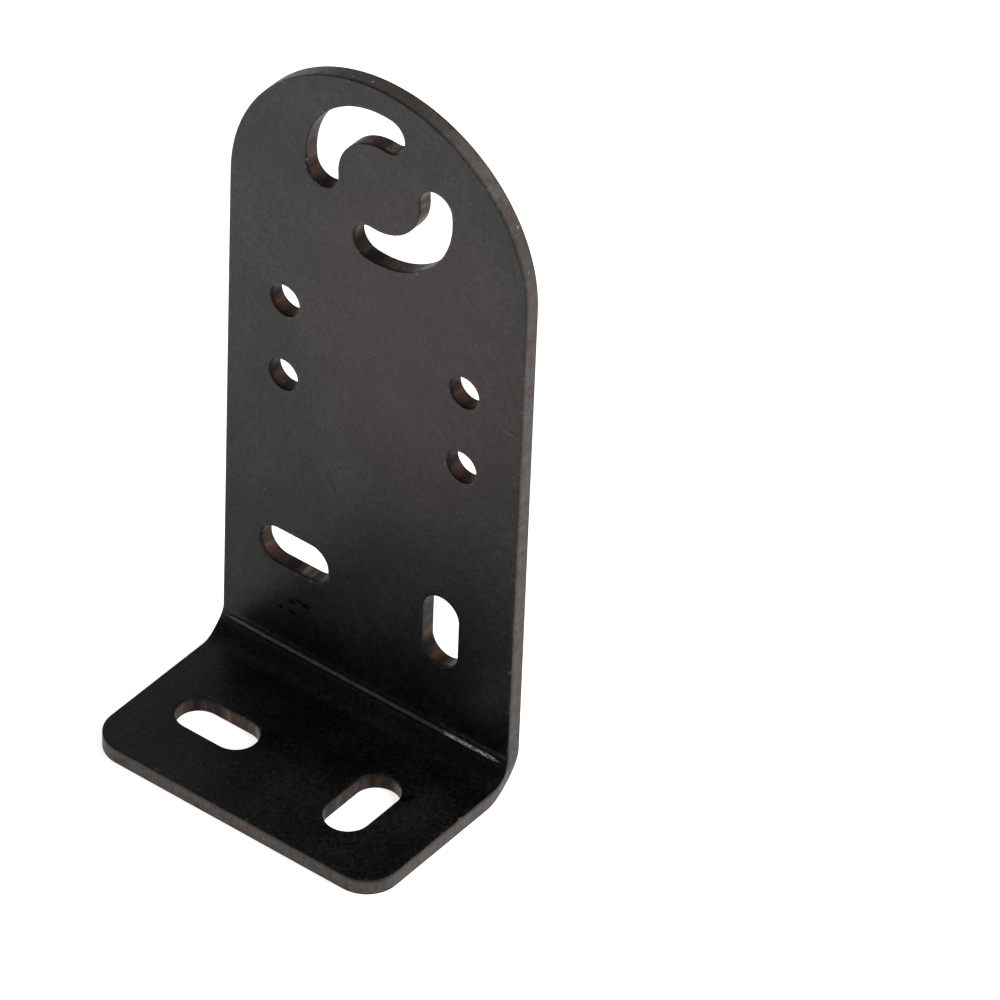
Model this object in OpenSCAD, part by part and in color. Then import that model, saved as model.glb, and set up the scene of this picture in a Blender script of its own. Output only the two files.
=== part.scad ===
/*
 Sensor mounting bracket: one laser-cut steel sheet, bent once on a press brake.
 Millimetres. +Z is up, the foot reaches towards -Y, and the upright's back is the +Y side.
 The origin is at the middle of the footprint, on the underside of the foot.
*/

/* [Sheet] */
// thickness of the sheet
sheet_t = 3; // [2:0.5:4]
// width of the bracket, left to right
sheet_w = 59; // [54:1:76]

/* [Upright] */
// height from the underside of the foot to the top of the round end
upright_h = 127; // [122:1:170]

/* [Foot] */
// depth of the foot, from its front edge to the back of the upright
foot_d = 37.5; // [36:0.5:60]
// radius of the two front corners of the foot
foot_corner_r = 6; // [2:0.5:10]

/* [Bend] */
// inside radius of the bend
bend_r = 5; // [2.5:0.5:6]
// how far the squeezed metal stands out beside the inside of the bend
bend_swell = 0.3; // [0.1:0.05:0.5]
// how far along each leg the swelling runs out
swell_run = 2.5; // [1.5:0.5:4]
// width of the mark that the punch leaves along the bend
mark_w = 0.9; // [0.6:0.1:1.4]
// depth of the punch mark
mark_depth = 0.12; // [0.05:0.01:0.2]
// plain bend left between the punch mark and each side
mark_gap = 0.5; // [0.5:0.5:4]
// angle of the punch mark round the bend, from the upright
mark_turn = 19; // [18:1:60]

/* [Curved slots] */
// distance from the top of the upright down to the common centre
curve_drop = 19; // [18.5:0.5:26]
// radius of the centre line
curve_r = 11.3; // [10.5:0.1:13]
// width of the curved slots
curve_w = 6.4; // [5:0.1:7.5]
// angle at which the upper slot begins, from the right, anticlockwise
curve_start = 82; // [60:1:90]
// angle between the centres of the two ends of a slot
curve_span = 106; // [90:1:125]

/* [Small holes] */
// diameter of the four small holes
hole_d = 5.8; // [4:0.2:7]
// distance between the two columns
hole_pitch_x = 36; // [32:1:40]
// distance between the two rows
hole_pitch_z = 15; // [12:0.5:18]
// height of the lower row above the underside of the foot
hole_z = 62; // [58:0.5:66]

/* [Slots] */
// width of the upright's two straight slots
slot_w = 7.2; // [5:0.2:9]
// overall length of the upright's straight slots
slot_len = 14; // [12:0.5:18]
// width of the foot's two slots
foot_slot_w = 8; // [5:0.2:9]
// overall length of the foot's slots
foot_slot_len = 15.5; // [12:0.5:18]
// distance between the left and the right slots
slot_pitch_x = 30; // [28:0.5:34]
// height of the upright's slots above the underside of the foot
slot_z = 26.5; // [24:0.5:32]
// distance of the foot's slots from its front edge
foot_slot_in = 15.5; // [12:0.5:16]

/* [Parts] */
// which part to show

/* [Hidden] */
$fn = 96;
// how far a cutter stands clear of the face that it starts from
clear_of = 1;
// the upright's back face, its front face, and the bend's centre line
back_y = foot_d / 2;
front_y = back_y - sheet_t;
axis_y = front_y - bend_r;
axis_z = sheet_t + bend_r;
outer_r = bend_r + sheet_t;
// the round end takes the full width
top_r = sheet_w / 2;
top_z = upright_h - top_r;
curve_z = upright_h - curve_drop;
foot_slot_y = foot_slot_in - foot_d / 2;
// angle of the bend in degrees, and the number of stations at which its ends are shaped
bend_len = 90;
stations = 24;
cut_over = 0.4;

// a cylinder through the upright, at x and at height z
module upright_bore(x, z, d) {
  translate([x, back_y + clear_of, z])
    rotate([90, 0, 0])
      cylinder(h = sheet_t + 2 * clear_of, d = d);
}

// slot with round ends, as a solid of height h along z, lying along x
module slot_body(len, wid, h) {
  run = len - wid;
  translate([-run / 2, -wid / 2, 0])
    cube([run, wid, h]);
  for (side = [-1, 1])
    translate([side * run / 2, 0, 0])
      cylinder(h = h, d = wid);
}

// straight slot through the upright; turn is 0 for across, 90 for up and down
module upright_slot(x, turn) {
  translate([x, back_y + clear_of, slot_z])
    rotate([90, 0, 0])
      rotate([0, 0, turn])
        slot_body(slot_len, slot_w, sheet_t + 2 * clear_of);
}

// straight slot through the foot; turn is 0 for across, 90 for front to back
module foot_slot(x, turn) {
  translate([x, foot_slot_y, -clear_of])
    rotate([0, 0, turn])
      slot_body(foot_slot_len, foot_slot_w, sheet_t + 2 * clear_of);
}

// curved slot through the upright about the common centre
module curved_slot(start) {
  translate([0, back_y + clear_of, curve_z])
    rotate([90, 0, 0]) {
      rotate([0, 0, start])
        rotate_extrude(angle = curve_span)
          translate([curve_r - curve_w / 2, 0])
            square([curve_w, sheet_t + 2 * clear_of]);
      for (a = [start, start + curve_span])
        translate([curve_r * cos(a), curve_r * sin(a), 0])
          cylinder(h = sheet_t + 2 * clear_of, d = curve_w);
    }
}

// flat upright with its round end, down to where the bend begins
module upright_blank() {
  translate([-sheet_w / 2, front_y, axis_z])
    cube([sheet_w, sheet_t, top_z - axis_z]);
  translate([0, back_y, top_z])
    rotate([90, 0, 0])
      cylinder(h = sheet_t, r = top_r);
}

// flat foot with its two round front corners, back to where the bend begins
module foot_blank() {
  run = axis_y + foot_d / 2;
  translate([-sheet_w / 2, -foot_d / 2 + foot_corner_r, 0])
    cube([sheet_w, run - foot_corner_r, sheet_t]);
  translate([-sheet_w / 2 + foot_corner_r, -foot_d / 2, 0])
    cube([sheet_w - 2 * foot_corner_r, run, sheet_t]);
  for (side = [-1, 1])
    translate([side * (sheet_w / 2 - foot_corner_r), -foot_d / 2 + foot_corner_r, 0])
      cylinder(h = sheet_t, r = foot_corner_r);
}

// quarter ring of the bend, with a short flat run on each leg, as wide as its swollen inside
module bend_blank() {
  wide = sheet_w + 2 * bend_swell;
  translate([wide / 2, axis_y, axis_z])
    rotate([0, -90, 0])
      rotate([0, 0, 90])
        rotate_extrude(angle = 90)
          translate([bend_r, 0])
            square([sheet_t, wide]);
  translate([-wide / 2, front_y, axis_z])
    cube([wide, sheet_t, swell_run]);
  translate([-wide / 2, axis_y - swell_run, 0])
    cube([wide, swell_run, sheet_t]);
}

// place on the section at distance s along the bend (arc in degrees, runs in mm) and radius r
function on_bend(s, r) =
  s < 0 ? [axis_y + r, axis_z - s] :
  s > bend_len ? [axis_y - (s - bend_len), axis_z - r] :
  [axis_y + r * cos(s), axis_z - r * sin(s)];

// 0 at both run-outs, 1 at the middle of the bend
function swell_share(s) =
  let (u = (s + swell_run) / (bend_len + 2 * swell_run))
  pow(sin(180 * min(1, max(0, u))), 2);

// the stations: three on each run-out, the rest round the arc
function station(i) =
  i < 3 ? -swell_run - cut_over + (swell_run + cut_over) * i / 3 :
  i > stations - 3 ? bend_len + (swell_run + cut_over) * (i - stations + 3) / 3 :
  bend_len * (i - 3) / (stations - 6);

// half width of the section: wide inside the bend, narrow outside
function half_width(s, r) =
  let (share = 2 * (outer_r - r) / sheet_t - 1)
  sheet_w / 2 + bend_swell * swell_share(s) * share;

// what is taken off one side of the bend, so that the inside stands out and the outside draws in
module side_cutter() {
  far = sheet_w / 2 + bend_swell + clear_of;
  r_in = bend_r - cut_over;
  r_out = outer_r + cut_over;
  points = [
    for (i = [0:stations])
      let (s = station(i), a = on_bend(s, r_in), b = on_bend(s, r_out))
      each [
        [half_width(s, r_in), a[0], a[1]],
        [half_width(s, r_out), b[0], b[1]],
        [far, b[0], b[1]],
        [far, a[0], a[1]]
      ]
  ];
  faces = [
    [0, 1, 2, 3],
    for (i = [0:stations - 1], k = [0:3])
      let (p = 4 * i + k, q = 4 * i + (k + 1) % 4)
      each [[q, p, p + 4], [q, p + 4, q + 4]],
    [4 * stations + 3, 4 * stations + 2, 4 * stations + 1, 4 * stations]
  ];
  polyhedron(points, faces);
}

// shallow round-bottomed groove along the inside of the bend, running out at both ends
module punch_mark() {
  groove_r = (mark_w * mark_w / 4 + mark_depth * mark_depth) / (2 * mark_depth);
  reach = bend_r - groove_r + mark_depth;
  taper = 3;
  len = sheet_w - 2 * mark_gap - 2 * taper;
  translate([0, axis_y + reach * cos(mark_turn), axis_z - reach * sin(mark_turn)])
    rotate([0, 90, 0]) {
      translate([0, 0, -len / 2])
        cylinder(h = len, r = groove_r);
      for (side = [0, 1])
        mirror([0, 0, side])
          translate([0, 0, len / 2])
            cylinder(h = taper, r1 = groove_r, r2 = groove_r - mark_depth);
    }
}

// the whole bracket
module bracket() {
  color([0.10, 0.10, 0.105])
    difference() {
      union() {
        upright_blank();
        foot_blank();
        bend_blank();
      }
      side_cutter();
      mirror([1, 0, 0])
        side_cutter();
      punch_mark();
      curved_slot(curve_start);
      curved_slot(curve_start + 180);
      for (side = [-1, 1], row = [0, 1])
        upright_bore(side * hole_pitch_x / 2, hole_z + row * hole_pitch_z, hole_d);
      upright_slot(-slot_pitch_x / 2, 0);
      upright_slot(slot_pitch_x / 2, 90);
      foot_slot(-slot_pitch_x / 2, 0);
      foot_slot(slot_pitch_x / 2, 90);
    }
}

bracket();
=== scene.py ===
import math

import bpy
from mathutils import Matrix, Vector
from mathutils.geometry import delaunay_2d_cdt
from mathutils.kdtree import KDTree


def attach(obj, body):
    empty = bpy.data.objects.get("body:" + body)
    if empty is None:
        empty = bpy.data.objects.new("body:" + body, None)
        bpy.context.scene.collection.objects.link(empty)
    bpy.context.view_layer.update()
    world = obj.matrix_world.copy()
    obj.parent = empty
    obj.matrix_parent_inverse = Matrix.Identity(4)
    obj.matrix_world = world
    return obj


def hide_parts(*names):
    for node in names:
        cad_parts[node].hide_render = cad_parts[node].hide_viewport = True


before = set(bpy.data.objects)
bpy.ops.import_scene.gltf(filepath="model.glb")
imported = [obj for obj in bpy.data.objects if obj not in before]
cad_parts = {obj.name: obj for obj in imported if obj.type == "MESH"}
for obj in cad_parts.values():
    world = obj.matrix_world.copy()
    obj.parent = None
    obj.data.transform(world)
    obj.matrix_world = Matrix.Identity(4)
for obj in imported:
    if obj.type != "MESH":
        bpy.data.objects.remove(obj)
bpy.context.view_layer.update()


# ------------------------------------------------------------ the laser-cut blank
# The bracket is one piece of black steel sheet, cut out by laser while it is flat.
# Lengths are millimetres on the cutting table: x to the right, s from the foot's front
# edge to the top of the round end. The upper face becomes the inside of the bend.
sheet_t = 3.0
half_w = 29.5
foot_corner = 6.0
bend_r = 5.0                        # inside radius of the bend
bend_steel = 9.84                   # length of sheet that the bend takes up
bend_from = 29.5                    # flat of the foot, front edge to bend
bend_to = bend_from + bend_steel
upright_s = bend_to - (sheet_t + bend_r)        # adds to a height on the upright to give s
top_s = upright_s + 97.48           # centre of the round end
swell_run = 2.5                     # run-out of the bend's swollen sides
mark_w = 0.9 * bend_steel / (bend_r * math.pi / 2)      # width of the punch mark, still flat
mark_turn = 71                      # degrees round the bend, from the foot
lip = 0.16                          # rounding of the cut's two arrises
band = 0.8                          # even ring of faces along each cut
hole_step = 7.5                     # degrees between points round a hole


def arc(x, s, r, start, end, step, side):
    """Points round an arc, each with the direction into the metal."""
    count = max(2, round(abs(end - start) / step))
    made = []
    for i in range(count + 1):
        a = math.radians(start + (end - start) * i / count)
        out = Vector((math.cos(a), math.sin(a)))
        made.append((Vector((x, s)) + r * out, side * out))
    return made


def joined(*arcs, step=1.2):
    """A closed outline through the arcs, with even points on the straights between them."""
    made = []
    for here, there in zip(arcs, arcs[1:] + arcs[:1]):
        made += here
        (p, into), (q, _) = here[-1], there[0]
        if (q - p).length < 1e-5:
            made.pop()
            continue
        count = max(1, round((q - p).length / step))
        made += [(p.lerp(q, i / count), into) for i in range(1, count)]
    return made


def round_hole(x, height, d):
    return arc(x, upright_s + height, d / 2, 0, 360, hole_step, 1)[:-1]


def straight_slot(x, s, turn, length, width):
    way = Vector((math.cos(math.radians(turn)), math.sin(math.radians(turn))))
    end = (length - width) / 2 * way
    first = arc(x + end.x, s + end.y, width / 2, turn - 90, turn + 90, hole_step, 1)
    second = arc(x - end.x, s - end.y, width / 2, turn + 90, turn + 270, hole_step, 1)
    return joined(first, second)


def curved_slot(start, height=108.0, r=11.3, width=6.4, span=106.0):
    """One of the two slots round the common centre, from start on, in degrees."""
    s, end, caps = upright_s + height, start + span, []
    for a, first in ((end, end), (start, start + 180)):
        x = r * math.cos(math.radians(a))
        up = s + r * math.sin(math.radians(a))
        caps.append(arc(x, up, width / 2, first, first + 180, 9, 1))
    outer = arc(0, s, r + width / 2, start, end, 4, 1)
    inner = arc(0, s, r - width / 2, end, start, 8, -1)
    return joined(outer, caps[0], inner, caps[1])


# Rows of points across the bend, in degrees round it: closest together at the punch mark.
beside_mark = (-9, -7.4, -6.2, -5.3, -4.6, -3.6, -2, 0, 2, 3.6, 4.6, 5.3, 6.2, 7.4, 9)
turns = [0, 5, 10, 15, 20, 25, 30, 35, 40, 45, 50, 55, 59]
turns += [mark_turn + a for a in beside_mark] + [82, 84, 87, 90]
runs = (swell_run / 3, swell_run * 2 / 3, swell_run)
rows = [bend_from - run for run in reversed(runs)]
rows += [bend_from + (bend_to - bend_from) * a / 90 for a in turns]
rows += [bend_to + run for run in runs]

foot_steps, upright_steps = 18, 60          # faces along each side of the two legs
side_s = [foot_corner + (rows[0] - foot_corner) * i / foot_steps for i in range(1, foot_steps)]
side_s += rows
side_s += [rows[-1] + (top_s - rows[-1]) * i / upright_steps for i in range(1, upright_steps)]
right = [(Vector((half_w, s)), Vector((-1, 0))) for s in side_s]
left = [(Vector((-half_w, s)), Vector((1, 0))) for s in reversed(side_s)]
corner_x = half_w - foot_corner
front = joined(arc(-corner_x, foot_corner, foot_corner, 180, 270, 5, -1),
               arc(corner_x, foot_corner, foot_corner, 270, 360, 5, -1))
front = front[:front.index(next(p for p in front if p[0].x > half_w - 1e-6)) + 1]
outline = front + right + arc(0, top_s, half_w, 0, 180, 2.5, -1) + left

# Two curved slots, four round holes, and in each leg one slot across and one along.
hole_d, hole_x, hole_heights = 5.8, 18, (62, 77)
slot_x = 15
slot_rows = ((upright_s + 26.5, 14.0, 7.2), (15.5, 15.5, 8.0))       # s, length, width
cuts = [outline, curved_slot(82), curved_slot(262)]
cuts += [round_hole(x, height, hole_d) for x in (-hole_x, hole_x) for height in hole_heights]
for s, length, width in slot_rows:
    cuts += [straight_slot(x, s, turn, length, width) for x, turn in ((-slot_x, 0), (slot_x, 90))]

# The sheet's face: rings along each cut, the rows of the bend and a loose even fill.
spots, ties, owner, known = [], [], [], {}


def spot(p, cut=-1):
    key = (round(p[0], 4), round(p[1], 4))
    if key not in known:
        known[key] = len(spots)
        spots.append(Vector(p[:2]))
        owner.append(cut)
    return known[key]


rings = []
for number, cut in enumerate(cuts):
    ring = [spot(p + lip * into, number) for p, into in cut]
    beside = [spot(p + band * into) for p, into in cut]
    for line in (ring, beside):
        ties += list(zip(line, line[1:] + line[:1]))
    rings.append(ring)

columns = 44
across = [(half_w - band) * (2 * i / columns - 1) for i in range(columns + 1)]
for s in rows:
    line = [spot((x, s)) for x in across]
    ties += list(zip(line, line[1:]))

near = KDTree(sum(len(cut) for cut in cuts))
walls = [point for cut in cuts for point in cut]
for i, (p, into) in enumerate(walls):
    near.insert((p.x, p.y, 0), i)
near.balance()
fill_step, row_share, fill_clear = 2.4, 0.87, 1.0       # loose fill: spacing, rows, room left
for j in range(int((top_s + half_w) / (fill_step * row_share)) + 1):
    for i in range(-13, 14):
        p = Vector(((i + j % 2 / 2) * fill_step, j * fill_step * row_share))
        if rows[0] - 1 < p.y < rows[-1] + 1:
            continue
        _, nearest, distance = near.find((p.x, p.y, 0))
        wall, into = walls[nearest]
        if distance > band + fill_clear and (p - wall).dot(into) > 0:
            spot(p)

flat, _, tiles, came_from, _, _ = delaunay_2d_cdt(spots, ties, [], 0, 1e-6)
assert len(flat) == len(spots)
owners = [owner[source[0]] for source in came_from]
place = {source[0]: i for i, source in enumerate(came_from)}
tiles = [t for t in tiles
         if not (owners[t[0]] >= 0 and owners[t[0]] == owners[t[1]] == owners[t[2]])]

# Both faces, then the wall of each cut with its two rounded arrises. The small cuts' walls
# carry a value from 1 at the right end to 2 at the left end, which places painted shade at the
# left and a painted highlight at the right.
profile = [(lip * (1 - math.sin(math.radians(a))), lip * (1 - math.cos(math.radians(a))))
           for a in (0, 22.5, 45, 67.5, 90)]
profile = [(d, sheet_t - h) for d, h in profile] + [(0, 2.05), (0, 1.2), (0, 0.55)] + \
          [(d, h) for d, h in reversed(profile)]
count = len(flat)
points = [Vector((p.x, p.y, sheet_t)) for p in flat] + [Vector((p.x, p.y, 0)) for p in flat]
faces = [tuple(t) for t in tiles] + [tuple(count + i for i in reversed(t)) for t in tiles]
cut_uv = [(0.0, 0.0)] * (3 * len(faces))
small_cut_side = [0.0] * len(points)
on_wall = [False] * len(faces)
for number, (cut, ring) in enumerate(zip(cuts, rings)):
    around = len(cut)
    left_end, right_end = min(p.x for p, _ in cut), max(p.x for p, _ in cut)
    layers = [[place[i] for i in ring]]
    for d, h in profile[1:-1]:
        layers.append(list(range(len(points), len(points) + around)))
        points += [Vector((*(p + d * into), h)) for p, into in cut]
        small_cut_side += [1.0 + (right_end - p.x) / (right_end - left_end) if number else 0.0
                for p, _ in cut]
    layers.append([count + place[i] for i in ring])
    run = [0.0]
    for i in range(around):
        run.append(run[-1] + (cut[(i + 1) % around][0] - cut[i][0]).length)
    for k in range(len(profile) - 1):
        for i in range(around):
            n = (i + 1) % around
            quad = [(layers[k][i], run[i], k), (layers[k][n], run[i + 1], k),
                    (layers[k + 1][n], run[i + 1], k + 1), (layers[k + 1][i], run[i], k + 1)]
            if number == 0:
                quad.reverse()
            faces.append(tuple(q[0] for q in quad))
            cut_uv += [(q[1], profile[q[2]][1]) for q in quad]
            on_wall.append(2 <= k < len(profile) - 3)

mm = 0.001
blank_mesh = bpy.data.meshes.new("flat_blank")
blank_mesh.from_pydata([p * mm for p in points], [], faces)
sheet_map = blank_mesh.uv_layers.new(name="sheet")
cut_map = blank_mesh.uv_layers.new(name="cut")
for corner in blank_mesh.loops:
    p = points[corner.vertex_index]
    sheet_map.data[corner.index].uv = (p.x * mm, p.y * mm)
    cut_map.data[corner.index].uv = (cut_uv[corner.index][0] * mm, cut_uv[corner.index][1] * mm)
rim = [1.0 if i >= 2 * count or owners[i % count] >= 0 else 0.0 for i in range(len(points))]
for name, kind, domain, values in (("laser_cut", "BOOLEAN", "FACE", on_wall),
                                   ("rim", "FLOAT", "POINT", rim),
                                   ("small_cut", "FLOAT", "POINT", small_cut_side)):
    blank_mesh.attributes.new(name, kind, domain).data.foreach_set("value", values)
blank_mesh.polygons.foreach_set("use_smooth", [True] * len(faces))
blank = bpy.data.objects.new("flat_blank", blank_mesh)
bpy.context.scene.collection.objects.link(blank)


# ------------------------------------------------------------------- the finish
# The rolled faces carry a thin black oxide: satin, slightly mottled, oily in places and
# rubbed to steel here and there. The cuts took a thinner, browner oxide over the fine
# striations that the laser leaves from face to face.
def add(tree, kind, inputs=None, **options):
    """A node with its options set and its inputs given a value or a link."""
    made = tree.nodes.new(kind)
    for name, value in options.items():
        setattr(made, name, value)
    for key, value in (inputs or {}).items():
        if isinstance(value, bpy.types.NodeSocket):
            tree.links.new(value, made.inputs[key])
        else:
            made.inputs[key].default_value = value
    return made


def math_node(tree, operation, *values, clamp=False):
    return add(tree, "ShaderNodeMath", dict(enumerate(values)), operation=operation,
               use_clamp=clamp).outputs[0]


def times(tree, first, *others):
    for other in others:
        first = math_node(tree, "MULTIPLY", first, other)
    return first


def ease(tree, value, low, high, to_low=0.0, to_high=1.0):
    """A smooth step from to_low at low to to_high at high."""
    return add(tree, "ShaderNodeMapRange", {"Value": value, "From Min": low, "From Max": high,
                                            "To Min": to_low, "To Max": to_high},
               interpolation_type="SMOOTHSTEP").outputs[0]


def blend(tree, share, first, second):
    """A colour between first and second."""
    return add(tree, "ShaderNodeMix", {0: share, 6: first, 7: second},
               data_type="RGBA").outputs[2]


def noise(tree, place, scale, detail, roughness=0.5):
    """A noise pattern; a scale of three numbers stretches it."""
    if isinstance(scale, tuple):
        place = add(tree, "ShaderNodeMapping", {"Vector": place, "Scale": scale}).outputs[0]
        scale = 1.0
    return add(tree, "ShaderNodeTexNoise", {"Vector": place, "Scale": scale, "Detail": detail,
                                            "Roughness": roughness}).outputs[0]


def effect(name, inputs, outputs):
    """An empty shader node group with its sockets, and the node that its inputs come from."""
    made = bpy.data.node_groups.new(name, "ShaderNodeTree")
    for label, value in inputs.items():
        kind = "NodeSocketVector" if isinstance(value, tuple) else "NodeSocketFloat"
        socket = made.interface.new_socket(label, in_out="INPUT", socket_type=kind)
        socket.default_value = value
    for label in outputs:
        made.interface.new_socket(label, in_out="OUTPUT", socket_type="NodeSocketFloat")
    return made, add(made, "NodeGroupInput").outputs


# grain of the rolled sheet: a fine and a middle grit over broad, faint clouds
mill_grain, given = effect("mill_grain", {"Place": (0, 0, 0), "Fine": 3600.0, "Middle": 1300.0,
                                          "Cloud": 70.0}, ("Tone", "Height"))
fine, middle, cloud = (noise(mill_grain, given["Place"], given[size], detail, 0.6)
                       for size, detail in (("Fine", 2.0), ("Middle", 4.0), ("Cloud", 5.0)))
tone = math_node(mill_grain, "MULTIPLY_ADD", middle, 0.4, times(mill_grain, cloud, 0.3))
tone = math_node(mill_grain, "MULTIPLY_ADD", fine, 0.3, tone)
height = math_node(mill_grain, "MULTIPLY_ADD", middle, 0.7, times(mill_grain, fine, 0.3))
add(mill_grain, "NodeGroupOutput", {"Tone": tone, "Height": height})

# specks: a small round dot in a few cells of a cell pattern
pale_specks, given = effect("pale_specks", {"Place": (0, 0, 0), "Scale": 420.0, "Share": 0.03,
                                            "Size": 0.2}, ("Mask",))
cells = add(pale_specks, "ShaderNodeTexVoronoi", {"Vector": given["Place"],
                                                  "Scale": given["Scale"]}).outputs
draw = add(pale_specks, "ShaderNodeSeparateColor", {0: cells["Color"]}).outputs
chosen = math_node(pale_specks, "LESS_THAN", draw[0], given["Share"])
reach = times(pale_specks, given["Size"], math_node(pale_specks, "ADD", draw[1], 0.35))
inside = math_node(pale_specks, "SUBTRACT", reach, cells["Distance"])
inside = math_node(pale_specks, "DIVIDE", inside, times(pale_specks, reach, 0.5), clamp=True)
add(pale_specks, "NodeGroupOutput", {"Mask": times(pale_specks, inside, chosen)})

# the rim along each cut, rubbed through in patches
rubbed_rim, given = effect("rubbed_rim", {"Place": (0, 0, 0), "Rim": 0.0, "Patches": 260.0,
                                          "Share": 0.5}, ("Mask",))
share = math_node(rubbed_rim, "SUBTRACT", given["Share"], 0.5)
patch = noise(rubbed_rim, given["Place"], given["Patches"], 5.0, 0.7)
patch = ease(rubbed_rim, math_node(rubbed_rim, "ADD", patch, share), 0.5, 0.68)
add(rubbed_rim, "NodeGroupOutput", {"Mask": times(rubbed_rim, given["Rim"], patch)})

# one spot with a soft and torn edge
soft_spot, given = effect("soft_spot", {"Place": (0, 0, 0), "Centre": (0, 0, 0),
                                        "Size": (0.002, 0.002, 1), "Ragged": 0.35}, ("Mask",))
shift = add(soft_spot, "ShaderNodeVectorMath", {0: given["Place"], 1: given["Centre"]},
            operation="SUBTRACT").outputs[0]
shift = add(soft_spot, "ShaderNodeVectorMath", {0: shift, 1: given["Size"]},
            operation="DIVIDE").outputs[0]
far = add(soft_spot, "ShaderNodeVectorMath", {0: shift}, operation="LENGTH").outputs["Value"]
torn = math_node(soft_spot, "SUBTRACT", noise(soft_spot, given["Place"], 1100.0, 4.0), 0.5)
torn = times(soft_spot, torn, times(soft_spot, given["Ragged"], 4.0))
far = math_node(soft_spot, "ADD", far, torn)
add(soft_spot, "NodeGroupOutput", {"Mask": ease(soft_spot, far, 1.0, 0.3)})


def new_material(name):
    """An empty material, its tree, and the place on the object that its patterns read."""
    made = bpy.data.materials.new(name)
    made.use_nodes = True
    made.node_tree.nodes.clear()
    return made, made.node_tree, add(made.node_tree, "ShaderNodeTexCoord").outputs["Object"]


def place_group(tree, group, inputs):
    """One of the effects above, placed in a material with its own values."""
    made = tree.nodes.new("ShaderNodeGroup")
    made.node_tree = group
    for key, value in inputs.items():
        if isinstance(value, bpy.types.NodeSocket):
            tree.links.new(value, made.inputs[key])
        else:
            made.inputs[key].default_value = value
    return made.outputs


def attribute(tree, name):
    return add(tree, "ShaderNodeAttribute", attribute_name=name).outputs["Fac"]


# the rolled face: near black, a little paler where the grain stands up, and with a painted
# warm glow of flare and haze over the upper part of the upright
pit_black, grain_black = (0.0006, 0.0006, 0.0007, 1), (0.014, 0.0134, 0.013, 1)
painted_flare_glow = (0.04, 0.0145, 0.013, 1)
face_finish, tree, place_in = new_material("black_oxide_face")
on_sheet = add(tree, "ShaderNodeUVMap", uv_map="sheet").outputs[0]


def sheet_spot(x, s, wide, long, ragged=0.35):
    """A soft spot on the face; its place and half size are millimetres on the blank."""
    values = {"Place": on_sheet, "Centre": (x * mm, s * mm, 0), "Size": (wide * mm, long * mm, 1)}
    return place_group(tree, soft_spot, {**values, "Ragged": ragged})["Mask"]


grain = place_group(tree, mill_grain, {"Place": place_in})
color = blend(tree, ease(tree, grain["Tone"], 0.44, 0.64), pit_black, grain_black)
# painted light: a warm glow of flare and haze laid over the upper upright
color = blend(tree, times(tree, sheet_spot(8, 112, 30, 42, 0.1), 0.32), color, painted_flare_glow)
rough = ease(tree, grain["Tone"], 0.36, 0.64, 0.41, 0.31)

# oily smudges, darker and glossier: five above the bend, four on the foot
oil_black = (0.0004, 0.0004, 0.0005, 1)
smudges = ((-12.4, 48.2, 1.4, 0.7), (-15.0, 45.4, 1.2, 0.5), (-15.4, 47.6, 1.1, 0.6),
           (-17.4, 45.4, 0.6, 0.6), (-13.6, 48.4, 1.8, 0.4), (-5.4, 18.2, 3.0, 1.9),
           (-2.4, 17.2, 3.4, 1.9), (-0.2, 16.4, 2.4, 1.6), (19.9, 20.8, 1.3, 1.7))
oil = 0.0
for smudge in smudges:
    oil = math_node(tree, "MAXIMUM", oil, sheet_spot(*smudge))
color = blend(tree, times(tree, oil, 0.85), color, oil_black)
rough = math_node(tree, "MULTIPLY_ADD", oil, -0.2, rough)

# pale wear: specks, fine grit, the rubbed rims, and one short scratch by the right side
wear_grey = (0.16, 0.15, 0.14, 1)
specks = place_group(tree, pale_specks, {"Place": place_in, "Share": 0.12, "Size": 0.07})["Mask"]
grit = place_group(tree, pale_specks, {"Place": place_in, "Scale": 1500.0, "Share": 0.05,
                                       "Size": 0.28})["Mask"]
worn = place_group(tree, rubbed_rim, {"Place": place_in, "Rim": attribute(tree, "rim"),
                                      "Patches": 800.0, "Share": 0.435})["Mask"]
scratch = sheet_spot(27.6, 104.9, 1.3, 0.1, 0.1)
pale = 0.0
for mask, strength in ((specks, 0.55), (grit, 0.12), (worn, 0.75), (scratch, 0.4)):
    pale = math_node(tree, "MAXIMUM", pale, times(tree, mask, strength))
color = blend(tree, pale, color, wear_grey)

# the punch mark: a burnished strip between two lines of painted shade at the groove's edges, bare
# steel towards the right side, and faint scuffs above it; across_mark is 1 at the mark's edges
bare_steel, painted_crease_shade = (0.62, 0.6, 0.58, 1), (0.0002, 0.0002, 0.0002, 1)
scuff_grey = (0.05, 0.05, 0.052, 1)
across_mark, end_mark = attribute(tree, "across_mark"), attribute(tree, "mark_run_out")
far_across = math_node(tree, "ABSOLUTE", across_mark)
far_across = math_node(tree, "ADD", far_across, ease(tree, end_mark, 1.0, 0.0, 0.0, 0.9))
strip = times(tree, ease(tree, far_across, 0.95, 0.65), ease(tree, end_mark, 0.0, 0.2))
line = times(tree, ease(tree, far_across, 0.8, 1.05), ease(tree, far_across, 1.8, 1.35),
             ease(tree, end_mark, 0.15, 0.6))
sheet_x = add(tree, "ShaderNodeSeparateXYZ", {0: on_sheet}).outputs[0]
scrape = noise(tree, on_sheet, (900, 2600, 1), 3.0)
bare = times(tree, ease(tree, sheet_x, 0.0155, 0.0185), ease(tree, sheet_x, 0.0283, 0.0262),
             ease(tree, scrape, 0.38, 0.52))
shine = math_node(tree, "MULTIPLY_ADD", bare, 0.6, ease(tree, scrape, 0.3, 0.7, 0.05, 0.12))
shine = times(tree, strip, shine)
scuff = times(tree, ease(tree, across_mark, 1.5, 2.1), ease(tree, across_mark, 4.2, 2.6),
              ease(tree, scrape, 0.42, 0.62, 0.15, 1.0))
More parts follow.
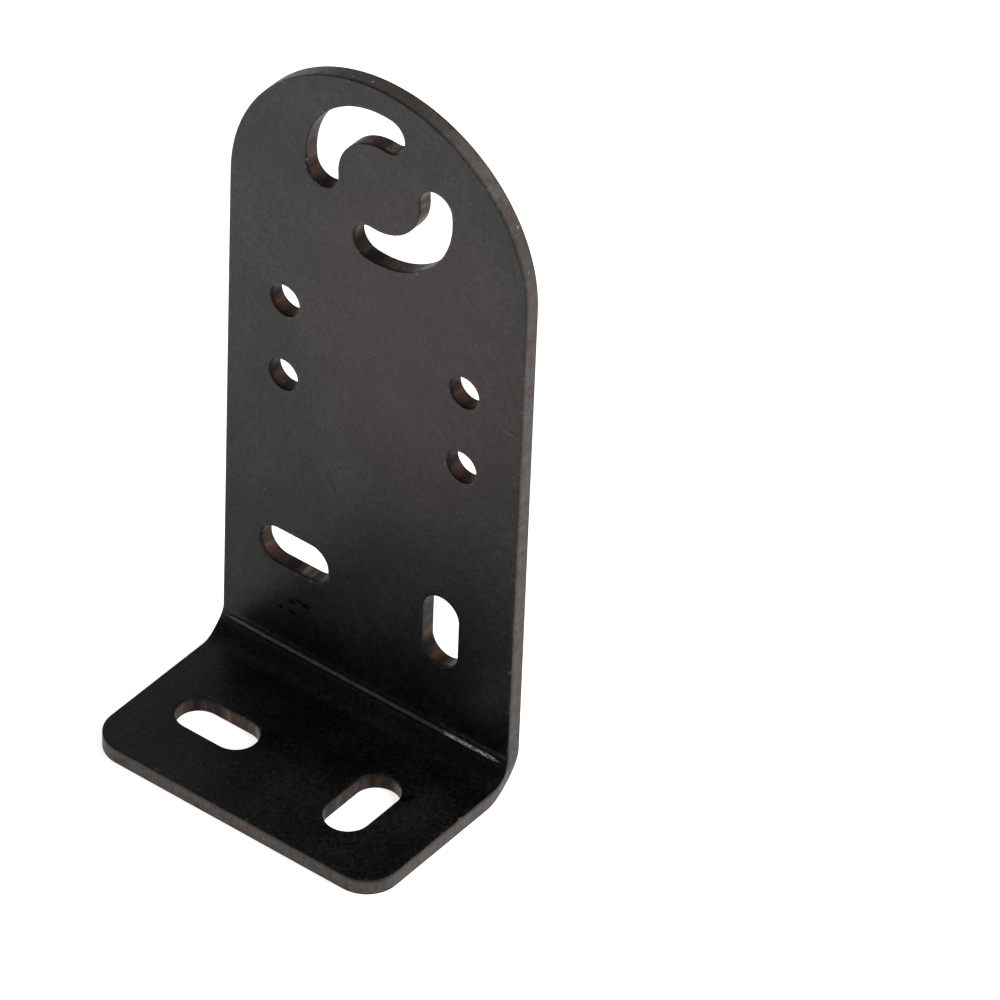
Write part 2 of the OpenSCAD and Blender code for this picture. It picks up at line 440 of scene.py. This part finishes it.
ends = math_node(tree, "ADD", ease(tree, sheet_x, -0.012, -0.022, 0.35, 0.6),
                 ease(tree, sheet_x, 0.012, 0.02, 0.0, 0.5))
color = blend(tree, times(tree, scuff, ends), color, scuff_grey)
color = blend(tree, shine, color, bare_steel)
# painted shade: the groove's two edges darkened as if shade fell in the crease
color = blend(tree, line, color, painted_crease_shade)
rough = math_node(tree, "MULTIPLY_ADD", line, 0.5, rough)
rough = math_node(tree, "MULTIPLY_ADD", strip, -0.1, rough)
bump = add(tree, "ShaderNodeBump", {"Strength": 0.8, "Distance": 0.00008,
                                    "Height": grain["Height"]})
shader = add(tree, "ShaderNodeBsdfPrincipled", {
    "Base Color": color, "Roughness": rough, "Metallic": shine, "Specular IOR Level": 0.17,
    "Normal": bump.outputs[0]})
add(tree, "ShaderNodeOutputMaterial", {"Surface": shader.outputs[0]})

# the cut walls: striae from face to face, with a brown tint here and there
dull_wall, clean_wall = (0.058, 0.052, 0.047, 1), (0.082, 0.074, 0.068, 1)
brown_tint = (0.066, 0.034, 0.023, 1)
cut_finish, tree, place_in = new_material("laser_cut_edge")
on_cut = add(tree, "ShaderNodeUVMap", uv_map="cut").outputs[0]
grain = place_group(tree, mill_grain, {"Place": place_in, "Cloud": 300.0})
striae = noise(tree, on_cut, (3200, 170, 1), 3.0, 0.6)
heat = noise(tree, on_cut, (330, 420, 1), 2.0)
color = blend(tree, ease(tree, striae, 0.3, 0.7), dull_wall, clean_wall)
color = blend(tree, ease(tree, heat, 0.44, 0.6, 0.0, 0.3), color, brown_tint)

# the small cut-outs' walls: painted shade towards their left, red-brown heat tint, and a painted
# highlight towards the right; noise scatters all three
# the darkest colour here is painted shade and the palest a painted highlight; red-brown is heat
# tint
wall_painted_shade, red_brown = (0.005, 0.0038, 0.0034, 1), (0.05, 0.0235, 0.016, 1)
wall_painted_highlight = (0.14, 0.126, 0.112, 1)
cut_end = attribute(tree, "small_cut")
small_cut = ease(tree, cut_end, 0.0, 1.0)
shade_tint_highlight_zone = noise(tree, on_cut, (330, 60, 1), 2.0)
shade_tint_highlight_zone = math_node(tree, "MULTIPLY_ADD", math_node(tree, "SUBTRACT", striae, 0.5), 0.12, shade_tint_highlight_zone)
# painted light: the right end leans to the painted highlight, the left end to the painted shade
shade_tint_highlight_zone = math_node(tree, "ADD", shade_tint_highlight_zone, ease(tree, cut_end, 1.0, 2.0, 0.12, -0.09))
oxide = blend(tree, ease(tree, shade_tint_highlight_zone, 0.34, 0.5), wall_painted_shade, red_brown)
oxide = blend(tree, ease(tree, shade_tint_highlight_zone, 0.53, 0.71), oxide, wall_painted_highlight)
color = blend(tree, times(tree, small_cut, 0.94), color, oxide)

# grime in the grain, a scorched line along both arrises, and a few bright sparks
grime, scorch_black = (0.02, 0.017, 0.016, 1), (0.012, 0.011, 0.011, 1)
spark_grey = (0.4, 0.36, 0.32, 1)
color = blend(tree, ease(tree, grain["Tone"], 0.36, 0.5, 0.6, 0.0), color, grime)
depth = add(tree, "ShaderNodeSeparateXYZ", {0: on_cut}).outputs[1]
scorch = math_node(tree, "ADD", ease(tree, depth, 0.0022, 0.00275),
                   ease(tree, depth, 0.0005, 0.0001))
scorch = times(tree, scorch, ease(tree, small_cut, 0.0, 1.0, 0.6, 0.9))
color = blend(tree, scorch, color, scorch_black)
specks = place_group(tree, pale_specks, {"Place": place_in, "Scale": 1100.0, "Share": 0.05,
                                         "Size": 0.3})["Mask"]
color = blend(tree, times(tree, specks, 0.5), color, spark_grey)
rough = ease(tree, grain["Tone"], 0.35, 0.65, 0.62, 0.46)
bump = add(tree, "ShaderNodeBump", {"Strength": 0.35, "Distance": 0.00004, "Height": striae})
shader = add(tree, "ShaderNodeBsdfPrincipled", {
    "Base Color": color, "Roughness": rough, "Metallic": 0.8, "Specular IOR Level": 0.3,
    "Normal": bump.outputs[0]})
add(tree, "ShaderNodeOutputMaterial", {"Surface": shader.outputs[0]})


# ------------------------------------------------------------------ the one bend
# A press brake folds the blank once, to a right angle. The inside of the bend is squeezed
# and stands out at both sides, the outside draws in, and the punch leaves a mark.
press_brake = bpy.data.node_groups.new("press_brake", "GeometryNodeTree")
inputs = {}
for name, kind, value in (
        ("Blank", "NodeSocketGeometry", None),
        ("Rolled Face", "NodeSocketMaterial", face_finish),
        ("Cut Wall", "NodeSocketMaterial", cut_finish),
        ("Front Edge", "NodeSocketFloat", -18.75 * mm),
        ("Bend From", "NodeSocketFloat", bend_from * mm),
        ("Bend To", "NodeSocketFloat", bend_to * mm),
        ("Inside Radius", "NodeSocketFloat", bend_r * mm),
        ("Thickness", "NodeSocketFloat", sheet_t * mm),
        ("Half Width", "NodeSocketFloat", half_w * mm), ("Swell", "NodeSocketFloat", 0.3 * mm),
        ("Swell Run", "NodeSocketFloat", swell_run * mm),
        ("Mark Width", "NodeSocketFloat", mark_w * mm),
        ("Mark Place", "NodeSocketFloat", mark_turn / 90),
        ("Mark Depth", "NodeSocketFloat", 0.1 * mm), ("Mark Gap", "NodeSocketFloat", 0.5 * mm),
        ("Mark Run-out", "NodeSocketFloat", 3.0 * mm)):
    socket = press_brake.interface.new_socket(name, in_out="INPUT", socket_type=kind)
    inputs[name] = (socket.identifier, value)
press_brake.interface.new_socket("Bracket", in_out="OUTPUT", socket_type="NodeSocketGeometry")
given = add(press_brake, "NodeGroupInput").outputs


def calc(operation, *values, clamp=False):
    return math_node(press_brake, operation, *values, clamp=clamp)


flat_place = add(press_brake, "GeometryNodeInputPosition").outputs[0]
x, s, h = add(press_brake, "ShaderNodeSeparateXYZ", {0: flat_place}).outputs
before = calc("SUBTRACT", s, given["Bend From"])
after = calc("SUBTRACT", s, given["Bend To"])
bend_length = calc("SUBTRACT", given["Bend To"], given["Bend From"])
share = calc("DIVIDE", before, bend_length, clamp=True)
angle = calc("MULTIPLY", share, math.pi / 2)
foot_part = calc("MINIMUM", before, 0.0)
upright_part = calc("MAXIMUM", after, 0.0)

# the punch mark: flat-bottomed, in the inner face only, running out before the sides
mark_centre = calc("MULTIPLY", bend_length, given["Mark Place"])
across = calc("DIVIDE", calc("SUBTRACT", before, mark_centre),
              calc("MULTIPLY", given["Mark Width"], 0.5))
in_mark = calc("SUBTRACT", 1.0, calc("POWER", calc("ABSOLUTE", across), 6.0), clamp=True)
from_side = calc("SUBTRACT", calc("SUBTRACT", given["Half Width"], calc("ABSOLUTE", x)),
                 given["Mark Gap"])
run_out = calc("DIVIDE", from_side, given["Mark Run-out"], clamp=True)
inner = calc("GREATER_THAN", h, calc("SUBTRACT", given["Thickness"], 1e-6))
pressed = calc("MULTIPLY", calc("MULTIPLY", in_mark, run_out),
               calc("MULTIPLY", inner, given["Mark Depth"]))
radius = calc("ADD", given["Inside Radius"], calc("SUBTRACT", given["Thickness"], h))
radius = calc("ADD", radius, pressed)

# the swelling: sine squared over the bend and its two run-outs, where one millimetre of
# run-out counts as one degree; widest at the inner face, narrowest at the outer one
run_mm = calc("DIVIDE", given["Swell Run"], mm)
foot_run = calc("MAXIMUM", foot_part, calc("MULTIPLY", given["Swell Run"], -1.0))
foot_run = calc("DIVIDE", foot_run, mm)
along = calc("ADD", calc("ADD", foot_run, calc("MULTIPLY", share, 90.0)),
             calc("DIVIDE", upright_part, mm))
wave = calc("DIVIDE", calc("ADD", along, run_mm),
            calc("ADD", 90.0, calc("MULTIPLY", run_mm, 2.0)), clamp=True)
swell_share = calc("POWER", calc("SINE", calc("MULTIPLY", wave, math.pi)), 2.0)
depth_share = calc("DIVIDE", h, given["Thickness"])
depth_share = calc("SUBTRACT", calc("MULTIPLY", depth_share, 2.0), 1.0)
widen = calc("MULTIPLY", calc("MULTIPLY", swell_share, depth_share), given["Swell"])
widen = calc("DIVIDE", widen, given["Half Width"])
new_x = calc("MULTIPLY", x, calc("ADD", 1.0, widen))

axis_y = calc("ADD", given["Front Edge"], given["Bend From"])
axis_z = calc("ADD", given["Thickness"], given["Inside Radius"])
new_y = calc("ADD", calc("ADD", axis_y, foot_part), calc("MULTIPLY", radius, calc("SINE", angle)))
new_z = calc("SUBTRACT", axis_z, calc("MULTIPLY", radius, calc("COSINE", angle)))
new_z = calc("ADD", new_z, upright_part)
bent_place = add(press_brake, "ShaderNodeCombineXYZ", {0: new_x, 1: new_y, 2: new_z}).outputs[0]

# what the finish needs to know of the mark, kept on the points; the outer face is far from it
far_off = calc("MULTIPLY", calc("SUBTRACT", 1.0, inner), 9.0)
marked = given["Blank"]
for name, value in (("across_mark", calc("ADD", across, far_off)), ("mark_run_out", run_out)):
    marked = add(press_brake, "GeometryNodeStoreNamedAttribute",
                 {"Geometry": marked, "Name": name, "Value": value},
                 data_type="FLOAT", domain="POINT").outputs[0]
moved = add(press_brake, "GeometryNodeSetPosition",
            {"Geometry": marked, "Position": bent_place}).outputs[0]
real = add(press_brake, "GeometryNodeRealizeInstances", {"Geometry": moved}).outputs[0]
blackened = add(press_brake, "GeometryNodeSetMaterial",
                {"Geometry": real, "Material": given["Rolled Face"]}).outputs[0]
is_cut = add(press_brake, "GeometryNodeInputNamedAttribute", {"Name": "laser_cut"},
             data_type="BOOLEAN").outputs[0]
done = add(press_brake, "GeometryNodeSetMaterial",
           {"Geometry": blackened, "Selection": is_cut, "Material": given["Cut Wall"]}).outputs[0]
add(press_brake, "NodeGroupOutput", {"Bracket": done})

fold = blank.modifiers.new("press_brake", "NODES")
fold.node_group = press_brake
for identifier, value in inputs.values():
    if value is not None:
        fold[identifier] = value
at_work = bpy.context.evaluated_depsgraph_get()
bent_mesh = bpy.data.meshes.new_from_object(
    blank.evaluated_get(at_work), preserve_all_data_layers=True, depsgraph=at_work)
bent_mesh.name = "bent_sheet"
bpy.data.objects.remove(blank)
sheet = bpy.data.objects.new("bent_sheet", bent_mesh)
bpy.context.scene.collection.objects.link(sheet)
even = sheet.modifiers.new("face_normals", "WEIGHTED_NORMAL")
even.keep_sharp = False
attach(sheet, "root")
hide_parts("bracket")


# ---------------------------------------------------------- floor, light and camera
# A pale matt light table whose glow is painted light, dim next to the bracket as its painted
# shadow and brighter towards the front left; a weak soft box at the front, a strong one at the
# right; a long lens from the front right.
table_half = 4
floor_mesh = bpy.data.meshes.new("floor")
floor_mesh.from_pydata([(x * table_half, y * table_half, 0)
                        for x, y in ((-1, -1), (1, -1), (1, 1), (-1, 1))], [], [(0, 1, 2, 3)])
floor = bpy.data.objects.new("floor", floor_mesh)
bpy.context.scene.collection.objects.link(floor)
# the floor's emission is painted light: dim next to the bracket as its painted shadow, bright
# towards the front left
front_left, glow_from, glow_to = (-0.4, -0.92, 0), 0.025, 0.1
near_glow, far_glow = 0.78, 1.75
floor_painted_glow, tree, place_in = new_material("pale_floor_painted_glow")
ahead = add(tree, "ShaderNodeVectorMath", {0: place_in, 1: front_left},
            operation="DOT_PRODUCT").outputs["Value"]
shader = add(tree, "ShaderNodeBsdfPrincipled", {
    "Base Color": (0.8, 0.8, 0.8, 1), "Roughness": 0.9, "Specular IOR Level": 0.1,
    "Emission Strength": ease(tree, ahead, glow_from, glow_to, near_glow, far_glow),
    "Emission Color": (1.0, 0.985, 0.975, 1)})
add(tree, "ShaderNodeOutputMaterial", {"Surface": shader.outputs[0]})
floor_mesh.materials.append(floor_painted_glow)


def soft_box(name, place, aim, size, power):
    lamp = bpy.data.lights.new(name, "AREA")
    lamp.shape = "SQUARE"
    lamp.size = size
    lamp.energy = power
    made = bpy.data.objects.new(name, lamp)
    made.location = place
    made.rotation_euler = (Vector(aim) - Vector(place)).to_track_quat("-Z", "Y").to_euler()
    bpy.context.scene.collection.objects.link(made)


soft_box("front_box", (0.9, -1.5, 1.2), (0.0, -0.1, 0.0), 1.6, 4)
soft_box("side_box", (1.1, 0.4, 1.2), (0.0, 0.0, 0.05), 1.2, 24)

# the room: dim at the front, paler behind the bracket
front_glow, back_glow = 0.1, 0.54
world = bpy.data.worlds.new("studio")
world.use_nodes = True
tree = world.node_tree
tree.nodes.clear()
toward = add(tree, "ShaderNodeTexCoord").outputs["Generated"]
to_back = add(tree, "ShaderNodeSeparateXYZ", {0: toward}).outputs[1]
glow = add(tree, "ShaderNodeBackground", {
    "Color": (1, 1, 1, 1), "Strength": ease(tree, to_back, -0.4, 0.4, front_glow, back_glow)})
add(tree, "ShaderNodeOutputWorld", {"Surface": glow.outputs[0]})
bpy.context.scene.world = world
bpy.context.scene.view_settings.view_transform = "Standard"

# the camera's own axes and its place in metres, fitted to the photograph's view
lens = bpy.data.cameras.new("camera")
lens.sensor_width = 36
lens.lens = 324
lens.clip_end = 20
camera = bpy.data.objects.new("camera", lens)
camera.matrix_world = Matrix((
    (0.7872, -0.4116, 0.4592, 0.67377),
    (0.6158, 0.4864, -0.6198, -0.85873),
    (0.0317, 0.7707, 0.6364, 0.9575),
    (0, 0, 0, 1)))
bpy.context.scene.collection.objects.link(camera)
bpy.context.scene.camera = camera
